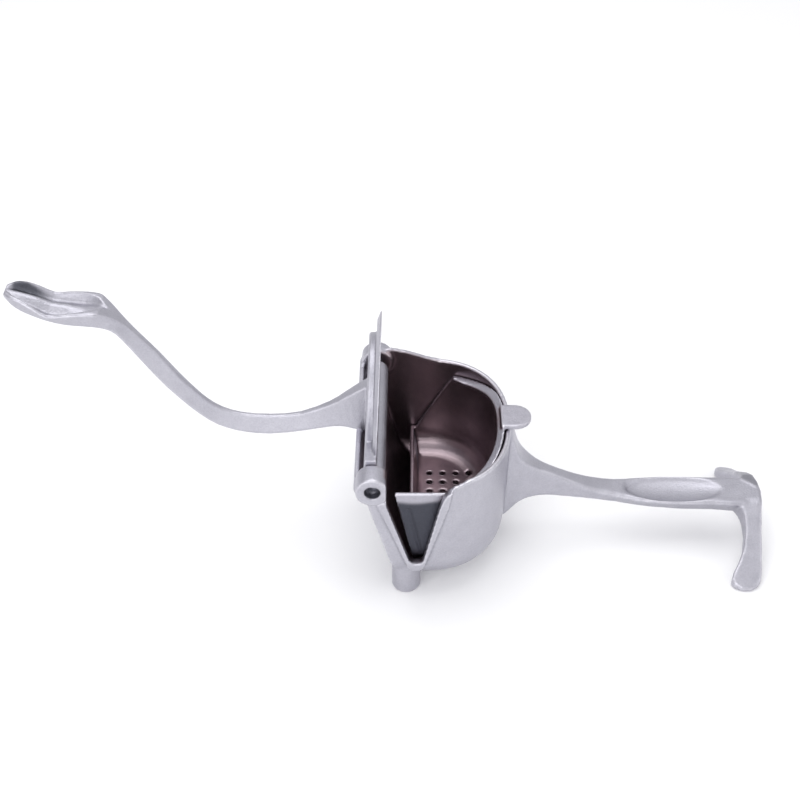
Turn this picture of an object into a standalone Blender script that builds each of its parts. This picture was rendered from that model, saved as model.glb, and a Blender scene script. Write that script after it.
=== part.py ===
"""Hand citrus press: a cast bowl on three feet, a strainer basket and a hinged press lever.

Sizes are millimetres. X runs from the lever grip to the lower handle, Y along the hinge
pin and Z up from the table. Profiles are given from the hinge axis as (x, z).
"""

import math

import bmesh
import bpy
from mathutils import Matrix, Vector

MM = 0.001

# Overall layout, measured from the hinge axis.
HINGE_HEIGHT = 90.0          # hinge axis above the table
GRIP_REACH = 208.2           # hinge axis to the tip of the open lever
FOOT_REACH = 243.0           # hinge axis to the far face of the T foot
HINGE_X = (GRIP_REACH - FOOT_REACH) / 2

# Bowl of the body.
BOWL_HALF_WIDTH = 61.0
BOWL_REACH = 82.0            # hinge axis to the outer face under the tab
BOWL_DEPTH = 80.0            # hinge axis down to the underside
BOWL_WALL = 3.0
RIM_LEVEL = 0.6              # rim above the hinge axis away from the lugs
BOWL_CORNER = 18.0           # rounding between the walls and the bottom
BOWL_BEND = 30.0             # where the side walls start to curve round
BOWL_SQUARENESS = 2.35       # exponent of the curve in plan, 2 is an ellipse
WALL_DRAFT = 0.022           # inward slope of the walls per millimetre of depth
TROUGH_RADIUS = 11.2         # gutter under the lever barrel, about the hinge axis
TROUGH_TOP = 1.0             # top of the gutter wall below the hinge axis
TROUGH_EDGE = 4.0            # where the wall leaves the bottom of the gutter
TROUGH_SLOPE = 0.27          # lean of the wall under the gutter
ARM_NOTCH = 5.5              # floor of the notch that stops the open lever's arm
ARM_NOTCH_HALF = 6.8
RIM_RISE = 9.0               # how far the rim climbs to the hinge lugs
RIM_SLOPE_END = 42.0         # where the climb to the lugs ends
RIM_SLOPE_LENGTH = 34.0
OVERSHOOT = 12.0             # how far a cutting shape passes the rim

# Hinge.
SEAT = 0.3                   # gap between faces that touch
LUG_RADIUS = 9.8
LUG_OUTER = BOWL_HALF_WIDTH + 4.5
LUG_INNER_NEAR = LUG_OUTER - 14.0
LUG_INNER_FAR = LUG_OUTER - 10.0
PIN_RADIUS = 3.0
PIN_FIT = 0.05               # radial clearance of the pin
PIN_RECESS = 0.5             # pin end behind the floor of the near pocket
POCKET_RADIUS = 0.46 * LUG_RADIUS
POCKET_DEPTH = 5.5
POCKET_TURN = 40             # sides of a pocket
BORE_TURN = 32               # sides of the bore through the lugs
KEY_RADIUS = 1.9             # half-round bump in the near pocket
KEY_OFFSET = 1.0
KEY_INSET = 1.0              # bump behind the face of the lug
HEAD_RADIUS = POCKET_RADIUS - SEAT
HEAD_LENGTH = 3.0
BARREL_CLEAR = 1.0           # barrel to gutter
BARREL_RADIUS = TROUGH_RADIUS - BOWL_WALL - BARREL_CLEAR
BARREL_FLAT = 0.75 * BARREL_RADIUS   # the back of the barrel is flat
LEVER_PLAY = 6.4             # free length on the pin, all of it at the far lug
WEB_TOP = 12.0               # where the barrel meets the plate

# Pouring spout in the near wall, drawn for a bowl of SPOUT_DRAWN reach and depth.
SPOUT_DRAWN = (82.0, 80.0)
SPOUT_POINTS = [
    (2.0, 14.0), (2.0, 9.7), (4.0, 9.0), (6.0, 7.8), (7.9, 5.9), (8.0, -14.0),
    (21.2, -58.5), (23.4, -60.8), (27.6, -60.8), (29.6, -58.8), (38.6, -16.0), (41.0, -8.0),
    (43.0, -4.4), (46.5, -2.2), (52.0, -0.6), (58.0, 1.5), (58.0, 14.0)]
SPOUT_LIP_PART = slice(5, -4)   # points below the rim, which the lip follows
SPOUT_MIDDLE = (25.5, -20.0)
SPOUT_LIP = 1.4              # how far the lip stands proud
SPOUT_BAND = 6.0             # width of the lip

# Feet under the bowl.
FOOT_RADIUS = 8.7
FOOT_X = 19.5
FOOT_Y = BOWL_HALF_WIDTH - 11.0
FOOT_CHAMFER = 0.8
FOOT_ROUNDING = 1.3          # corners of the T foot

# Lower handle.
HANDLE_ROOT = BOWL_REACH - 10.0
HANDLE_END = FOOT_REACH - 11.0
CROSSBAR_TOP = -56.0         # middle of the T foot
SCOOP_X = FOOT_REACH - 55.0
SCOOP_HALF = (31.5, 11.6, 4.6)
SCOOP_LEVEL = -54.9

# Strainer basket.
BASKET_WALL = 2.6
BASKET_GAP = 0.6             # side clearance to the bowl
BASKET_FLOOR_GAP = 7.0       # juice space under the basket
BASKET_CORNER = BOWL_CORNER - 3.0
BASKET_LEFT = 12.5           # hinge side of the basket
BASKET_LEAN = 0.2            # lean of that side
BASKET_RIM = 8.5             # near rim below the hinge axis
BASKET_OPEN = -52.0          # lowest point of the cut on the hinge side
OPEN_INSET = 0.2             # cut behind the inner face of the near wall
OPEN_START = 25.0            # foot of the cut, from the hinge axis
FLANGE_START = BOWL_REACH - 36.0   # where the rim flange begins
FLANGE_THICK = 2.6
FLANGE_WIDTH = 0.095         # share of the way in to the middle of the basket
FLANGE_TAPER = 18.0          # length over which its end widens
FLANGE_RISE = 2.5            # exponent of the climb to the tab
TAB_REACH = BOWL_REACH + 12.5
TAB_HALF = 10.0
TAB_THICK = 3.2
TAB_ROOT = BOWL_REACH - 6.0
TAB_LEVEL = RIM_LEVEL + SEAT
HOLE_RADIUS = 2.0
HOLE_PITCH = 8.5
HOLE_ROWS = 4
HOLE_COLUMNS = 7
HOLE_START = 34.0            # first row of holes
HOLE_TURN = 12               # sides of a hole

# Press lever.
PLATE_HALF = BOWL_HALF_WIDTH - 14.0
PLATE_REACH = BOWL_DEPTH - 10.0
PLATE_FACE = 1.8             # face of the plate in front of the hinge axis
PLATE_LEAN = math.radians(2.3)
BLADE = 2.6
BLADE_EDGE = 0.7             # square part of the blade's edge
BLADE_BEVEL = 5.0
PLATFORM_INSET = 12.5
PLATFORM = 7.0
ARM_DRAWN = 208.2            # reach the arm's stations are drawn for

SUPPORT_TURN = 40            # sides of a foot

ARC_STEPS = 24               # steps of the curve in plan, per quarter
CORNER_STEPS = 7             # steps of the round between wall and bottom
STATION_STEPS = 2            # sections per given station
SHARP_ANGLE = math.radians(35.0)


def tidy_scene():
    """Remove whatever the file opened with."""
    for item in list(bpy.data.objects):
        bpy.data.objects.remove(item, do_unlink=True)


def place(x, y, z):
    """Metres from hinge-relative millimetres."""
    return Vector(((HINGE_X + x) * MM, y * MM, (HINGE_HEIGHT + z) * MM))


def material(name, colour, roughness, metallic=1.0):
    """A Principled material."""
    made = bpy.data.materials.new(name)
    made.use_nodes = True
    shader = made.node_tree.nodes["Principled BSDF"]
    shader.inputs["Base Color"].default_value = (*colour, 1.0)
    shader.inputs["Roughness"].default_value = roughness
    shader.inputs["Metallic"].default_value = metallic
    return made


def add_object(name, mesh_data):
    """Link a finished bmesh as an object with its faces pointing out."""
    bmesh.ops.recalc_face_normals(mesh_data, faces=mesh_data.faces)
    mesh = bpy.data.meshes.new(name)
    mesh_data.to_mesh(mesh)
    mesh_data.free()
    mesh.shade_smooth()
    mesh.set_sharp_from_angle(angle=SHARP_ANGLE)
    made = bpy.data.objects.new(name, mesh)
    bpy.context.scene.collection.objects.link(made)
    return made


def move_origin(item, point):
    """Put an object's origin at a point without moving its shape."""
    item.data.transform(Matrix.Translation(-point))
    item.location = point


def cross_cap(mesh_data, ring):
    """Close a loop with faces that join its two sides, so its height follows X only."""
    last = len(ring) - 1
    for i in range(last // 2):
        corners = [ring[i], ring[i + 1], ring[last - 1 - i], ring[last - i]]
        mesh_data.faces.new(list(dict.fromkeys(corners)))


def between(before, start, end, after, share):
    """A smooth step between two stations that passes through both."""
    mixed = []
    for a, b, c, d in zip(before, start, end, after):
        bend = (2 * a - 5 * b + 4 * c - d) * share + (3 * b - 3 * c + d - a) * share * share
        mixed.append(b + 0.5 * share * (c - a + bend))
    return tuple(mixed)


def refine(stations):
    """The stations with smooth extra ones between them."""
    last = len(stations) - 1
    made = []
    for i in range(last):
        around = [stations[min(last, max(0, i + k))] for k in (-1, 0, 1, 2)]
        made += [between(*around, step / STATION_STEPS) for step in range(STATION_STEPS)]
    return made + [stations[-1]]


def loft(name, loops, crossed=False):
    """A closed solid skinned over loops of equal length, capped at both ends."""
    mesh_data = bmesh.new()
    rings = [[mesh_data.verts.new(place(*point)) for point in loop] for loop in loops]
    count = len(rings[0])
    for lower, upper in zip(rings, rings[1:]):
        for i in range(count):
            j = (i + 1) % count
            mesh_data.faces.new((lower[i], lower[j], upper[j], upper[i]))
    for ring in (rings[0], rings[-1]):
        if crossed:
            cross_cap(mesh_data, ring)
        else:
            mesh_data.faces.new(ring)
    bmesh.ops.remove_doubles(mesh_data, verts=mesh_data.verts, dist=1e-6)
    bmesh.ops.triangulate(mesh_data, faces=mesh_data.faces)
    return add_object(name, mesh_data)


def prism_y(name, outline, y_start, y_end):
    """An outline in (x, z) extruded along Y."""
    return loft(name, [[(x, y, z) for x, z in outline] for y in (y_start, y_end)])


def circle(radius, centre=(0.0, 0.0), sides=48):
    """Points of a circle in (x, z)."""
    turn = [2 * math.pi * i / sides for i in range(sides)]
    return [(centre[0] + radius * math.cos(a), centre[1] + radius * math.sin(a)) for a in turn]


def cylinder_y(name, radius, y_start, y_end, centre=(0.0, 0.0), sides=48):
    """A cylinder along Y."""
    return prism_y(name, circle(radius, centre, sides), y_start, y_end)


def combine(target, tool, operation):
    """Add a Boolean modifier and keep its tool as a hidden wire."""
    tool.hide_render = True
    tool.display_type = "WIRE"
    step = target.modifiers.new(f"{operation.lower()} {tool.name}", "BOOLEAN")
    step.operation = operation
    step.solver = "EXACT"
    step.object = tool


def bowl_left(z):
    """Outer face of the wall on the hinge side: a gutter, then a leaning wall."""
    wall = -TROUGH_EDGE - TROUGH_SLOPE * (z + TROUGH_RADIUS)
    if abs(z) >= TROUGH_RADIUS:
        return wall
    return min(wall, -math.sqrt(TROUGH_RADIUS ** 2 - z ** 2))


def bowl_plan(z, inset, bottom, corner):
    """Plan outline of the bowl at a height, pulled in by an inset."""
    rise = max(0.0, bottom + corner - z)
    curl = corner - math.sqrt(max(0.0, corner ** 2 - rise ** 2))
    pull = inset + curl
    draft = WALL_DRAFT * max(0.0, -z)
    half = BOWL_HALF_WIDTH - draft - pull
    reach = BOWL_REACH - draft - pull
    left = bowl_left(z) + pull
    sides = [left + (BOWL_BEND - left) * t for t in (0.0, 0.25, 0.5, 0.75)]
    turn = [math.pi * i / (2 * ARC_STEPS) for i in range(ARC_STEPS + 1)]
    power = 2 / BOWL_SQUARENESS
    arc = [(BOWL_BEND + (reach - BOWL_BEND) * math.sin(a) ** power, half * math.cos(a) ** power)
           for a in turn]
    near = [(x, -half) for x in sides] + [(x, -y) for x, y in arc]
    far = [(x, y) for x, y in reversed(arc[:-1])] + [(x, half) for x in reversed(sides)]
    return near + far


def rim_height(x):
    """Height of the bowl rim above the hinge axis."""
    if x < 0:
        return math.sqrt(max(0.0, LUG_RADIUS ** 2 - x ** 2)) - 1.0
    share = min(1.0, max(0.0, (RIM_SLOPE_END - x) / RIM_SLOPE_LENGTH))
    return RIM_LEVEL + (RIM_RISE - RIM_LEVEL) * share * share * (3 - 2 * share)


def bowl_levels(bottom, corner, top):
    """Heights for the bowl sections, from the bottom up."""
    steps = [i / (CORNER_STEPS - 1) for i in range(CORNER_STEPS)]
    turn = [math.pi / 2 * (0.12 + 0.88 * step) for step in steps]
    curve = [bottom + corner * (1 - math.cos(a)) for a in turn]
    return curve + [curve[-1] + (top - curve[-1]) * t for t in (0.35, 0.7, 1.0)]


def gutter_levels(inset):
    """Heights that follow the round of the gutter."""
    radius = TROUGH_RADIUS - inset
    return [-radius * math.sin(math.radians(a)) for a in (78.0, 62.0, 46.0, 30.0, 12.0)]


def bowl_skin(name, inset, overshoot):
    """A solid of the bowl's outer shape, or of its hollow when inset."""
    bottom = -BOWL_DEPTH + inset
    corner = BOWL_CORNER - inset * 0.6
    loops = []
    for z in bowl_levels(bottom, corner, -TROUGH_RADIUS - 3.0) + gutter_levels(inset):
        loops.append([(x, y, z) for x, y in bowl_plan(z, inset, bottom, corner)])
    plan = bowl_plan(0.0, inset, bottom, corner)
    loops.append([(x, y, rim_height(x) + overshoot) for x, y in plan])
    return loft(name, loops, crossed=True)


def spout_outline():
    """Outline of the V opening in (x, z), fitted to the bowl."""
    wide = BOWL_REACH / SPOUT_DRAWN[0]
    deep = BOWL_DEPTH / SPOUT_DRAWN[1]
    return [(x * wide, z * deep) for x, z in SPOUT_POINTS]


def spout_lip_outline(distance):
    """The part of the spout outline below the rim, moved outwards."""
    centre = Vector(SPOUT_MIDDLE)
    moved = []
    for x, z in spout_outline()[SPOUT_LIP_PART]:
        away = (Vector((x, z)) - centre).normalized()
        moved.append((x + away.x * distance, z + away.y * distance))
    return moved


def add_spout(body):
    """A proud lip round the spout."""
    lip = prism_y("spout_lip", spout_lip_outline(SPOUT_BAND), -BOWL_HALF_WIDTH - SPOUT_LIP,
                  -BOWL_HALF_WIDTH + BOWL_WALL)
    combine(body, lip, "UNION")


def cut_spout(body):
    """Cut the V opening through the near wall."""
    opening = prism_y("spout_opening", spout_outline(), -BOWL_HALF_WIDTH - OVERSHOOT,
                      1.0 - LUG_INNER_NEAR)
    combine(body, opening, "DIFFERENCE")


def foot(name, y):
    """One cylindrical foot from the bowl to the table."""
    turn = [2 * math.pi * i / SUPPORT_TURN for i in range(SUPPORT_TURN)]
    loops = []
    for radius, z in ((FOOT_RADIUS - FOOT_CHAMFER, -HINGE_HEIGHT),
                      (FOOT_RADIUS, -HINGE_HEIGHT + FOOT_CHAMFER),
                      (FOOT_RADIUS, -BOWL_DEPTH + BOWL_CORNER + 2.0)):
        loops.append([(FOOT_X + radius * math.cos(a), y + radius * math.sin(a), z) for a in turn])
    return loft(name, loops)


def section_x(x, top, bottom, half_top, half_bottom, soft=2.2):
    """A rounded drafted section across the lower handle."""
    points = []
    height = top - bottom
    soft = min(soft, height * 0.45, half_top * 0.9, half_bottom * 0.9)
    corners = [(half_top, top, 0.0), (-half_top, top, 0.5), (-half_bottom, bottom, 1.0),
               (half_bottom, bottom, 1.5)]
    for y, z, start in corners:
        cy = y - math.copysign(soft, y)
        cz = z - math.copysign(soft, z - (top + bottom) / 2)
        for i in range(5):
            angle = math.pi * (start + i / 8)
            points.append((x, cy + soft * math.cos(angle), cz + soft * math.sin(angle)))
    return points


# Lower handle, drawn from x 72 at its root to 232 at its end: distance from the hinge,
# top, bottom, half width on top, half width below.
HANDLE_STATIONS = [
    (72.0, -3.0, -74.0, 9.0, 9.0), (79.0, -3.5, -73.0, 9.0, 9.0),
    (84.0, -8.0, -68.5, 8.6, 8.4), (88.0, -21.0, -64.0, 8.2, 7.6),
    (93.0, -28.5, -60.5, 7.4, 6.6), (100.0, -34.5, -58.6, 6.0, 5.6),
    (108.0, -38.6, -58.2, 4.8, 5.0), (120.0, -44.2, -59.4, 5.0, 4.8),
    (133.0, -49.6, -60.8, 6.2, 5.0), (150.0, -53.6, -62.4, 7.8, 6.0),
    (164.0, -55.0, -63.6, 10.4, 8.0), (177.0, -55.2, -64.4, 11.8, 9.0),
    (193.0, -55.2, -65.2, 12.2, 9.6), (211.0, -55.6, -65.4, 12.0, 9.6),
    (222.0, -56.0, -65.8, 12.8, 10.4), (232.0, -56.4, -66.4, 12.0, 10.0)]


def handle():
    """The lower handle, a tall web at the bowl that flattens into a pad."""
    drawn_root, drawn_end = HANDLE_STATIONS[0][0], HANDLE_STATIONS[-1][0]
    stretch = (HANDLE_END - HANDLE_ROOT) / (drawn_end - drawn_root)
    loops = []
    for x, *rest in refine(HANDLE_STATIONS):
        loops.append(section_x(HANDLE_ROOT + (x - drawn_root) * stretch, *rest))
    return loft("handle", loops)


def thumb_scoop():
    """A long shallow hollow in the top of the pad."""
    mesh_data = bmesh.new()
    bmesh.ops.create_uvsphere(mesh_data, u_segments=40, v_segments=20, radius=1.0)
    scale = Matrix.Diagonal((*(size * MM for size in SCOOP_HALF), 1.0))
    spot = Matrix.Translation(place(SCOOP_X, 0, SCOOP_LEVEL))
    bmesh.ops.transform(mesh_data, matrix=spot @ scale, verts=mesh_data.verts)
    return add_object("thumb_scoop", mesh_data)


# T foot: distance along Y, setback of the inner and the outer edge from FOOT_REACH, then top
# of the near leg, top of the far leg and bottom as shares of the height of the crossbar.
T_STATIONS = [
    (0.0, 21.0, 0.0, 1.0, 1.0, 0.688), (7.5, 18.0, 0.7, 0.992, 1.0, 0.655),
    (11.0, 15.2, 1.2, 0.958, 0.99, 0.61), (16.0, 13.5, 1.8, 0.872, 0.95, 0.53),
    (24.0, 12.8, 2.4, 0.706, 0.79, 0.382), (34.0, 14.6, 3.0, 0.5, 0.54, 0.159),
    (42.0, 18.6, 3.6, 0.335, 0.345, 0.0), (46.0, 21.4, 4.0, 0.265, 0.265, 0.0),
    (50.0, 23.0, 4.8, 0.194, 0.194, 0.0), (53.0, 21.6, 7.2, 0.141, 0.141, 0.0),
    (55.6, 17.2, 11.4, 0.088, 0.088, 0.0)]
FAR_LEG_SET = 0.73           # setback of the far leg's inner edge, as a share of the near one's


def section_y(y, left, right, top, bottom):
    """A rounded section across one leg of the T foot."""
    points = []
    soft = min(FOOT_ROUNDING, (right - left) * 0.4)
    corners = [(right, top, 0.0), (left, top, 0.5), (left, bottom, 1.0), (right, bottom, 1.5)]
    middle = (left + right) / 2
    for x, z, start in corners:
        reach = soft if z > bottom else FOOT_CHAMFER
        cx = x - math.copysign(reach, x - middle)
        cz = z - reach if z > bottom else z + reach
        for i in range(5):
            angle = math.pi * (start + i / 8)
            points.append((cx + reach * math.cos(angle), y, cz + reach * math.sin(angle)))
    return points


def leg_section(side, y, inner, outer, near_top, far_top, bottom):
    """A section of the T foot at a station, on one side."""
    tall = HINGE_HEIGHT + CROSSBAR_TOP
    if side > 0:
        inner, top = inner * FAR_LEG_SET, far_top
    else:
        top = near_top
    return section_y(side * y, FOOT_REACH - inner, FOOT_REACH - outer,
                     top * tall - HINGE_HEIGHT, bottom * tall - HINGE_HEIGHT)


def t_foot():
    """The crossbar that splays down to the table on both sides."""
    near = [leg_section(-1, *station) for station in reversed(T_STATIONS)]
    far = [leg_section(1, *station) for station in T_STATIONS[1:]]
    return loft("t_foot", near + far)


def cut_opening(body, name, floor, near, far):
    """Cut the hinge side of the bowl down to a height between two places along the pin."""
    wide = 3 * LUG_RADIUS
    outline = [(-wide, floor), (0.0, floor), (0.0, wide), (-wide, wide)]
    combine(body, prism_y(name, outline, near, far), "DIFFERENCE")


def key_bump():
    """The half-round bump that hangs into the near pocket."""
    return cylinder_y("pocket_key", KEY_RADIUS, -LUG_OUTER + KEY_INSET,
                      -LUG_OUTER + POCKET_DEPTH + SEAT,
                      centre=(KEY_OFFSET, POCKET_RADIUS - 0.2), sides=BORE_TURN)


def press_body(finish):
    """The lower casting in one piece."""
    body = bowl_skin("press_body", 0.0, 0.0)
    body.data.materials.append(finish)
    combine(body, handle(), "UNION")
    combine(body, t_foot(), "UNION")
    combine(body, foot("foot_near", -FOOT_Y), "UNION")
    combine(body, foot("foot_far", FOOT_Y), "UNION")
    add_spout(body)
    combine(body, bowl_skin("bowl_hollow", BOWL_WALL, OVERSHOOT), "DIFFERENCE")
    combine(body, cylinder_y("lug_near", LUG_RADIUS, -LUG_OUTER, -LUG_INNER_NEAR), "UNION")
    combine(body, cylinder_y("lug_far", LUG_RADIUS, LUG_INNER_FAR, LUG_OUTER), "UNION")
    cut_opening(body, "trough_cut", -TROUGH_TOP, -LUG_INNER_NEAR, LUG_INNER_FAR)
    cut_opening(body, "arm_notch", -ARM_NOTCH, -ARM_NOTCH_HALF, ARM_NOTCH_HALF)
    cut_spout(body)
    combine(body, thumb_scoop(), "DIFFERENCE")
    for side in (-1, 1):
        pocket = cylinder_y(f"pocket_{side}", POCKET_RADIUS, side * (LUG_OUTER + 2.0),
                            side * (LUG_OUTER - POCKET_DEPTH), sides=POCKET_TURN)
        combine(body, pocket, "DIFFERENCE")
    bore = cylinder_y("body_bore", PIN_RADIUS + PIN_FIT, -LUG_OUTER - 1.0, LUG_OUTER + 1.0,
                      sides=BORE_TURN)
    combine(body, bore, "DIFFERENCE")
    combine(body, key_bump(), "UNION")
    return body


def basket_rim(x):
    """Height of the basket rim from the hinge axis."""
    share = max(0.0, (x - FLANGE_START) / (BOWL_REACH - BOWL_WALL - FLANGE_START))
    return -BASKET_RIM + (BASKET_RIM + TAB_LEVEL + TAB_THICK) * share ** FLANGE_RISE


def basket_plan(z, inset):
    """Plan outline of the basket at a height."""
    bottom = -BOWL_DEPTH + BOWL_WALL + BASKET_FLOOR_GAP
    pull = BOWL_WALL + BASKET_GAP + inset
    plan = bowl_plan(z, pull, bottom + inset, BASKET_CORNER)
    edge = BASKET_LEFT + BASKET_LEAN * max(0.0, -z - BASKET_RIM) + inset
    return [(max(x, edge), y) for x, y in plan]


def basket_skin(name, inset, overshoot):
    """A solid of the basket's outer shape, or of its hollow when inset."""
    bottom = -BOWL_DEPTH + BOWL_WALL + BASKET_FLOOR_GAP + inset
    loops = []
    for z in bowl_levels(bottom, BASKET_CORNER, -2 * BASKET_RIM):
        loops.append([(x, y, z) for x, y in basket_plan(z, inset)])
    plan = basket_plan(-BASKET_RIM, inset)
    loops.append([(x, y, basket_rim(x) + overshoot) for x, y in plan])
    return loft(name, loops, crossed=True)


def basket_flange():
    """The rim flange round the far end of the basket, rising to the tab."""
    plan = [(x, y) for x, y in basket_plan(-BASKET_RIM, 0.0) if x > FLANGE_START]
    inner = []
    for x, y in reversed(plan):
        taper = min(1.0, 0.45 + (x - FLANGE_START) / FLANGE_TAPER)
        inner.append((x - (x - BOWL_BEND) * FLANGE_WIDTH * taper, y * (1 - FLANGE_WIDTH * taper)))
    outline = plan + inner
    loops = [[(x, y, basket_rim(x) + lift) for x, y in outline] for lift in (-FLANGE_THICK, 0.1)]
    return loft("flange", loops, crossed=True)


def lifting_tab():
    """The round tab that lies over the bowl rim."""
    turn = [math.pi * (i / ARC_STEPS - 0.5) for i in range(ARC_STEPS + 1)]
    middle = TAB_REACH - TAB_HALF
    outline = [(middle + TAB_HALF * math.cos(a), TAB_HALF * math.sin(a)) for a in turn]
    outline += [(TAB_ROOT, TAB_HALF), (TAB_ROOT, -TAB_HALF)]
    return loft("tab", [[(x, y, z) for x, y in outline] for z in (TAB_LEVEL, TAB_LEVEL + TAB_THICK)])


def strainer_holes():
    """Round drain holes through the floor of the basket, in rows."""
    bottom = -BOWL_DEPTH + BOWL_WALL + BASKET_FLOOR_GAP
    mesh_data = bmesh.new()
    for row in range(HOLE_ROWS):
        for column in range(HOLE_COLUMNS):
            x = HOLE_START + HOLE_PITCH * row
            y = HOLE_PITCH * (column - (HOLE_COLUMNS - 1) / 2)
            spot = Matrix.Translation(place(x, y, bottom + BASKET_WALL / 2))
            bmesh.ops.create_cone(mesh_data, cap_ends=True, segments=HOLE_TURN,
                                  radius1=HOLE_RADIUS * MM, radius2=HOLE_RADIUS * MM,
                                  depth=4 * BASKET_WALL * MM, matrix=spot)
    return add_object("drain_holes", mesh_data)


def open_side():
    """What is cut away on the far and the hinge side, so the fruit can be seen and pushed in."""
    above = 2 * OVERSHOOT
    cut = [(0.0, above), (FLANGE_START + 3.0, above), (FLANGE_START + 2.5, -BASKET_RIM - 1.0),
           (FLANGE_START, -BASKET_RIM - 4.5), (OPEN_START, BASKET_OPEN), (0.0, BASKET_OPEN)]
    near = -BOWL_HALF_WIDTH + BOWL_WALL + BASKET_GAP + BASKET_WALL + OPEN_INSET
    return prism_y("open_side", cut, near, BOWL_HALF_WIDTH + OVERSHOOT)


def strainer_basket(finish):
    """The lift-out strainer with its rim flange and lifting tab."""
    basket = basket_skin("strainer_basket", 0.0, 0.0)
    basket.data.materials.append(finish)
    combine(basket, basket_skin("basket_hollow", BASKET_WALL, OVERSHOOT), "DIFFERENCE")
    combine(basket, basket_flange(), "UNION")
    combine(basket, lifting_tab(), "UNION")
    combine(basket, open_side(), "DIFFERENCE")
    combine(basket, strainer_holes(), "DIFFERENCE")
    move_origin(basket, place(BOWL_REACH / 2, 0.0, -BOWL_DEPTH))
    return basket


def leaned(y, along, depth):
    """A point on the press plate: along its face and behind it."""
    x = PLATE_FACE + depth
    return (x * math.cos(PLATE_LEAN) + along * math.sin(PLATE_LEAN), y,
            along * math.cos(PLATE_LEAN) - x * math.sin(PLATE_LEAN))


def arch(inset, start):
    """Arched outline of the plate as (y, along) points."""
    half = PLATE_HALF - inset
    centre = PLATE_REACH - PLATE_HALF
    turn = [math.pi * i / 32 for i in range(33)]
    top = [(half * math.cos(a), centre + half * math.sin(a)) for a in turn]
    return [(half, start)] + top + [(-half, start)]


def plate():
    """The thin press blade and the thicker platform behind it."""
    blade = loft("blade", [[leaned(y, a, d) for y, a in arch(inset, 2.0)]
                           for inset, d in ((0.0, 0.0), (0.0, -BLADE_EDGE), (BLADE_BEVEL, -BLADE))])
    levels = ((0.0, -1.0), (0.0, -PLATFORM + 1.0), (1.0, -PLATFORM))
    platform = loft("platform", [[leaned(y, a, d) for y, a in arch(PLATFORM_INSET + inset, 2.0)]
                                 for inset, d in levels])
    combine(blade, platform, "UNION")
    return blade


# Lever arm: top point, bottom point, half width on top, half width below, depth of the
# two grooves in the grip, height of the ridge between them, share of the width they take.
ARM_STATIONS = [
    ((-3.0, 30.0), (-4.0, -5.0), 4.6, 5.2, 0.0, 0.0, 1.0),
    ((-9.0, 26.2), (-9.5, -5.0), 4.2, 5.0, 0.0, 0.0, 1.0),
    ((-18.0, 19.5), (-17.0, -2.8), 3.4, 4.8, 0.0, 0.0, 1.0),
    ((-27.0, 13.2), (-26.0, -2.6), 2.6, 4.6, 0.0, 0.0, 1.0),
    ((-45.0, 5.2), (-44.0, -6.2), 1.9, 4.5, 0.0, 0.0, 1.0),
    ((-63.5, 3.2), (-63.5, -8.6), 1.6, 4.5, 0.0, 0.0, 1.0),
    ((-80.5, 4.6), (-78.0, -7.4), 1.6, 4.5, 0.0, 0.0, 1.0),
    ((-92.0, 8.8), (-90.0, -4.0), 1.8, 4.5, 0.0, 0.0, 1.0),
    ((-100.0, 14.8), (-99.8, 1.8), 2.0, 4.6, 0.0, 0.0, 1.0),
    ((-106.5, 22.4), (-111.0, 12.6), 2.2, 4.6, 0.0, 0.0, 1.0),
    ((-115.2, 34.0), (-123.6, 28.2), 2.6, 4.7, 0.0, 0.0, 1.0),
    ((-125.4, 49.8), (-133.2, 43.0), 2.5, 4.9, 0.0, 0.0, 1.0),
    ((-135.4, 63.0), (-141.6, 57.0), 2.9, 5.3, 0.0, 0.0, 1.0),
    ((-142.5, 72.4), (-147.8, 67.4), 3.8, 6.6, 0.0, 0.0, 1.0),
    ((-148.4, 79.0), (-152.5, 71.6), 6.6, 7.8, 0.0, 0.0, 0.1),
    ((-153.5, 83.2), (-157.0, 73.6), 9.6, 9.0, 1.0, -1.0, 0.3),
    ((-157.0, 84.8), (-160.0, 74.4), 11.2, 9.4, 3.0, -2.8, 0.66),
    ((-164.0, 85.4), (-166.0, 75.2), 12.0, 9.8, 4.8, -4.0, 0.9),
    ((-174.0, 85.0), (-175.0, 76.2), 12.7, 9.9, 4.2, -1.2, 1.0),
    ((-183.0, 84.6), (-184.0, 78.6), 12.8, 9.8, 2.8, 0.6, 1.0),
    ((-190.0, 89.0), (-191.5, 81.4), 11.9, 9.2, 3.6, -0.2, 1.0),
    ((-197.0, 93.2), (-199.0, 84.6), 10.4, 8.0, 4.4, -1.8, 1.0),
    ((-203.0, 94.8), (-204.2, 88.0), 8.4, 6.4, 2.6, -1.6, 0.85),
    ((-207.4, 94.8), (-208.2, 91.2), 4.6, 3.4, 0.2, -0.2, 0.5)]


def arm_section(top, bottom, half_top, half_bottom, groove, ridge, span):
    """A drafted, softened section of the arm; in the grip its top has two grooves and a ridge."""
    top, bottom = Vector(top), Vector(bottom)
    up = top - bottom
    height = up.length
    up.normalize()
    soft = min(1.4, height * 0.3, half_top * 0.6)
    flat = []
    corners = [(half_top, height, 0.0), (-half_top, height, 0.5), (-half_bottom, 0.0, 1.0),
               (half_bottom, 0.0, 1.5)]
    for y, level, start in corners:
        cy = y - math.copysign(soft, y)
        cl = level - math.copysign(soft, level - height / 2)
        turn = [math.pi * (start + i / 8) for i in range(5)]
        flat += [(cy + soft * math.cos(a), cl + soft * math.sin(a)) for a in turn]
        if start == 0.0:
            width = (half_top - soft) * span
            shape = ((0.93, 0.0), (0.72, -0.85 * groove), (0.5, -groove),
                     (0.16, ridge * 0.9 - 0.1 * groove))
            flat += [(width * share, height + level_change) for share, level_change in shape]
            flat.append((0.0, height + ridge))
            flat += [(-width * share, height + level_change) for share, level_change in reversed(shape)]
    points = []
    for y, level in flat:
        point = bottom + up * level
        points.append((point.x, y, point.y))
    return points


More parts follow.
